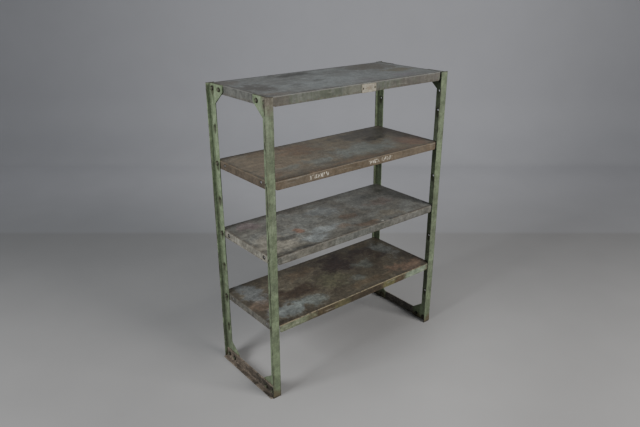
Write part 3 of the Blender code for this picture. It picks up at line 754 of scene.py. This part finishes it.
def gusset(node, side, face, hole, material):
    """Corner plate with one cut-off corner, welded to the web; hole is (y, z)."""
    sx, sy = SIDES[side], FACES[face]
    name = f"{node}_{face}_{side}"
    lo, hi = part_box(name)
    edge_y, z_low, z_high = min(abs(lo[1]), abs(hi[1])), lo[2], hi[2]
    if z_high > POST_HEIGHT / 2:
        flush, slope_start, slope_end = z_high, z_high - 0.029, z_low
    else:
        flush, slope_start, slope_end = z_low, 0.050, z_high
    seam = [(leaned(WEB_EDGE_Y, z) - GAP, z, 0.0) for z in (flush, slope_end)]
    outline = rounded((seam[0], (edge_y, flush, 0.002), (edge_y, slope_start, 0.006), seam[1]), 4)
    bm = bmesh.new()
    loft(bm, [[(sx * x, sy * y, z) for y, z in outline] for x in (SPAN, SPAN + STEEL)])
    obj = to_object(f"{name}_plate", bm)
    drill(obj, [(sx * (SPAN + STEEL / 2), sy * hole[0], hole[1])], STEEL)
    bm = bmesh.new()
    bm.from_mesh(obj.data)
    for x_face, out in ((SPAN + STEEL, 1), (SPAN, -1)):
        weld_bead(bm, sx, sy, x_face, out, slope_end, flush)
    bmesh.ops.recalc_face_normals(bm, faces=bm.faces)
    bm.to_mesh(obj.data)
    bm.free()
    obj.data.shade_smooth()
    obj.data.set_sharp_from_angle(angle=math.radians(40))
    soften(obj, 0.0007)
    level(obj)
    obj.data.materials.append(material)
    on_rack(obj, "post_paint", name)


def rail(side, material):
    """Angle iron along Y, its foot on the floor and its upright against the posts."""
    sx = SIDES[side]
    name = f"rail_{side}"
    lo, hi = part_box(name)
    inner, outer = sorted((abs(lo[0]), abs(hi[0])))
    half, height = hi[1], hi[2]
    heel, root, toe, arris = 0.0015, 0.005, 0.0025, 0.0008
    outline = rounded(((inner, 0.0, heel), (outer, 0.0, arris), (outer, STEEL, toe),
                       (inner + STEEL, STEEL, root), (inner + STEEL, height, toe), (inner, height, arris)))
    lengths = 12
    bm = bmesh.new()
    loft(bm, [[(sx * x, half * (2 * i / lengths - 1), z) for x, z in outline] for i in range(lengths + 1)])
    obj = to_object(f"{name}_angle", bm)
    drill(obj, [(sx * (inner + STEEL / 2), sy * y, RAIL_BOLT_Z) for sy in (-1, 1)
                for y in (leaned(HOLE_Y, RAIL_BOLT_Z), RAIL_INNER_BOLT_Y)], STEEL)
    obj.data.materials.append(material)
    level(obj)
    on_rack(obj, f"{name}_steel", name)


# ---------------------------------------------------------------- bolts and label
def bolt_mesh(name, grip, material):
    """Hex bolt along +X: washer against x = 0, its nut beyond -grip, threads past the nut."""
    angles = circle(24)
    shank, thread_root, washer = 0.0050, 0.0044, 0.0106
    corner, chamfered, crown = 0.0098, 0.0093, 0.0081
    nut_end, thread_pitch, thread_rings = -grip - 0.0080, 0.0005, 7

    def hexagon(limit=corner):
        """Distances from the axis to a hexagon, no larger than limit."""
        sector = math.pi / 3
        across = corner * math.cos(sector / 2)
        return [min(across / math.cos((a + sector / 2) % sector - sector / 2), limit) for a in angles]

    def disc(radius):
        return [radius] * len(angles)

    stations = [(0.0065, disc(0.0066)), (0.0061, hexagon(crown)), (0.0054, hexagon(chamfered)),
                (0.0046, hexagon()), (0.0019, hexagon()), (0.0018, disc(0.0101)), (0.0015, disc(washer)),
                (0.0003, disc(washer)), (0.0000, disc(0.0103)), (0.0000, disc(shank)), (-grip, disc(shank)),
                (-grip, hexagon(chamfered)), (-grip - 0.0008, hexagon()), (-grip - 0.0070, hexagon()),
                (-grip - 0.0078, hexagon(0.0088)), (nut_end, disc(0.0060))]
    stations += [(nut_end - thread_pitch * k, disc(shank if k % 2 else thread_root))
                 for k in range(thread_rings)]
    bm = bmesh.new()
    loft(bm, [[(x, r * math.cos(a), r * math.sin(a)) for a, r in zip(angles, radii)]
              for x, radii in stations])
    obj = to_object(name, bm, material, 30)
    mesh = obj.data
    bpy.data.objects.remove(obj)
    return mesh


def bolts(material):
    """All bolts from two shared meshes, each turned a little differently."""
    web_out, rail_out = SPAN + STEEL, SPAN + 2 * STEEL + GAP
    lip_in = SPAN - GAP - SHEET
    tray_mesh = bolt_mesh("tray_bolt_mesh", web_out - lip_in + 2 * GAP, material)
    rail_mesh = bolt_mesh("rail_bolt_mesh", rail_out - SPAN + 2 * GAP, material)
    places = [(f"bolt_tray_{n}", tray_mesh, web_out, leaned(HOLE_Y, z), z)
              for n, z in enumerate(TRAY_BOLTS_Z, 1)]
    places += [("bolt_gusset", tray_mesh, web_out, INNER_HOLE_Y, TRAY_BOLTS_Z[0]),
               ("bolt_rail_post", rail_mesh, rail_out, leaned(HOLE_Y, RAIL_BOLT_Z), RAIL_BOLT_Z),
               ("bolt_rail_gusset", rail_mesh, rail_out, RAIL_INNER_BOLT_Y, RAIL_BOLT_Z)]
    count = 0
    for side, sx in SIDES.items():
        for face, sy in FACES.items():
            for node, mesh, x, y, z in places:
                count += 1
                obj = bpy.data.objects.new(f"{node}_{face}_{side}_hex", mesh)
                bpy.context.scene.collection.objects.link(obj)
                outward = Matrix.Rotation(0.0 if sx > 0 else math.pi, 4, "Z")
                turned = Matrix.Rotation(math.radians(23 * count % 60), 4, "X")
                obj.matrix_world = Matrix.Translation((sx * (x + GAP), sy * y, z)) @ outward @ turned
                on_rack(obj, "bolt_steel", f"{node}_{face}_{side}")


def label(plate_material, rivet_material):
    """Small plate on the top tray's front lip, held by two domed rivets."""
    lo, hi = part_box("label_plate")
    corners = ((lo[0], lo[2]), (hi[0], lo[2]), (hi[0], hi[2]), (lo[0], hi[2]))
    outline = rounded([(x, z, 0.003) for x, z in corners], 4)
    bm = bmesh.new()
    loft(bm, [[(x, y, z) for x, z in outline] for y in (lo[1], hi[1])])
    obj = to_object("label_plate_blank", bm, plate_material)
    soften(obj, 0.0003)
    level(obj)
    on_rack(obj, "label_paint", "label_plate")
    rings = 6
    for side in SIDES:
        a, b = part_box(f"label_rivet_{side}")
        x, z, radius = (a[0] + b[0]) / 2, (a[2] + b[2]) / 2, (b[0] - a[0]) / 2
        base = b[1] + GAP
        bm = bmesh.new()
        loft(bm, [[(x + radius * math.cos(t) * math.cos(w), base - (base - a[1]) * math.sin(t),
                    z + radius * math.cos(t) * math.sin(w)) for w in circle(16)]
                  for t in (k / rings * math.pi / 2 for k in range(rings))])
        dome = to_object(f"label_rivet_{side}_dome", bm, rivet_material)
        on_rack(dome, "bolt_steel", f"label_rivet_{side}")


# ---------------------------------------------------------------- camera, floor and light
def look_from(place, yaw, pitch, lens, shift):
    """Camera turned yaw degrees from +Y towards +X, and pitch degrees down."""
    data = bpy.data.cameras.new("photo_camera")
    camera = bpy.data.objects.new("photo_camera", data)
    bpy.context.scene.collection.objects.link(camera)
    camera.location = place
    camera.rotation_euler = (math.radians(90 - pitch), 0.0, -math.radians(yaw))
    data.sensor_width = 36.0
    data.lens = lens
    data.shift_x, data.shift_y = shift
    data.clip_start, data.clip_end = 0.05, 60.0
    bpy.context.scene.camera = camera


def softbox(name, place, aim, size, power, color):
    """Rectangular area light that the camera doesn't see."""
    data = bpy.data.lights.new(name, "AREA")
    data.shape, data.size, data.size_y = "RECTANGLE", size[0], size[1]
    data.energy, data.color = power, color
    lamp = bpy.data.objects.new(name, data)
    bpy.context.scene.collection.objects.link(lamp)
    lamp.location = place
    lamp.visible_camera = False
    lamp.rotation_euler = (Vector(aim) - Vector(place)).to_track_quat("-Z", "Y").to_euler()


def studio(camera_place, yaw, wall_distance, half_width=14.0, depth=14.0, height=5.0):
    """Floor and wall in one seamless sheet, square to the camera."""
    eye = Vector((camera_place[0], camera_place[1], 0.0))
    forward = Vector((math.sin(math.radians(yaw)), math.cos(math.radians(yaw)), 0.0))
    across = Vector((forward.y, -forward.x, 0.0))
    foot = eye + forward * wall_distance
    radius, steps, sunk = 0.60, 16, 0.0002
    turn = [i / steps * math.pi / 2 for i in range(steps + 1)]
    cove = [(radius * (math.sin(a) - 1.0), radius * (1.0 - math.cos(a))) for a in turn]
    bm = bmesh.new()
    rows = [[bm.verts.new(foot + forward * d + Vector((0, 0, h - sunk)) + across * s)
             for s in (-half_width, half_width)] for d, h in [(-depth, 0.0), *cove, (0.0, height)]]
    for a, b in zip(rows, rows[1:]):
        bm.faces.new((a[0], a[1], b[1], b[0]))
    paper = studio_paper(tuple(forward), tuple(across), -forward.dot(eye))
    to_object("studio_backdrop", bm, paper, 60)


def air(color, strength):
    """Even light from all round."""
    world = bpy.data.worlds.new("studio_air")
    bpy.context.scene.world = world
    world.use_nodes = True
    background = world.node_tree.nodes["Background"]
    background.inputs["Color"].default_value = (*color, 1.0)
    background.inputs["Strength"].default_value = strength


CAMERA_PLACE = (-1.7549, -2.0916, 1.8097)
YAW, PITCH = 39.324, 20.717
look_from(CAMERA_PLACE, YAW, PITCH, lens=33.83, shift=(-0.0094, -0.0211))
studio(CAMERA_PLACE, YAW, wall_distance=6.3)
softbox("key_right_front", place=(1.0, -3.6, 2.6), aim=(0.0, 0.0, 0.6), size=(1.9, 1.9), power=175,
        color=(1.0, 0.985, 0.96))
softbox("side_left", place=(-3.2, -0.1, 2.1), aim=(0.0, 0.0, 0.5), size=(1.2, 1.4), power=95,
        color=(0.97, 0.99, 1.0))
air((0.9, 0.95, 1.0), 0.19)

green = sage_paint()
dark = bolt_oxide()
for number in TRAY_LOOKS:
    tray(number, tray_paint(number))
rail_colors = {"left": ((56, 53, 47), (106, 96, 85)), "right": ((104, 101, 94), (108, 102, 94))}
for side in SIDES:
    rail(side, rail_steel(side, *rail_colors[side]))
    for face in FACES:
        post(side, face, green)
        gusset("gusset_top", side, face, (INNER_HOLE_Y, TRAY_BOLTS_Z[0]), green)
        gusset("gusset_foot", side, face, (RAIL_INNER_BOLT_Y, RAIL_BOLT_Z), green)
bolts(dark)
label(label_enamel(), dark)
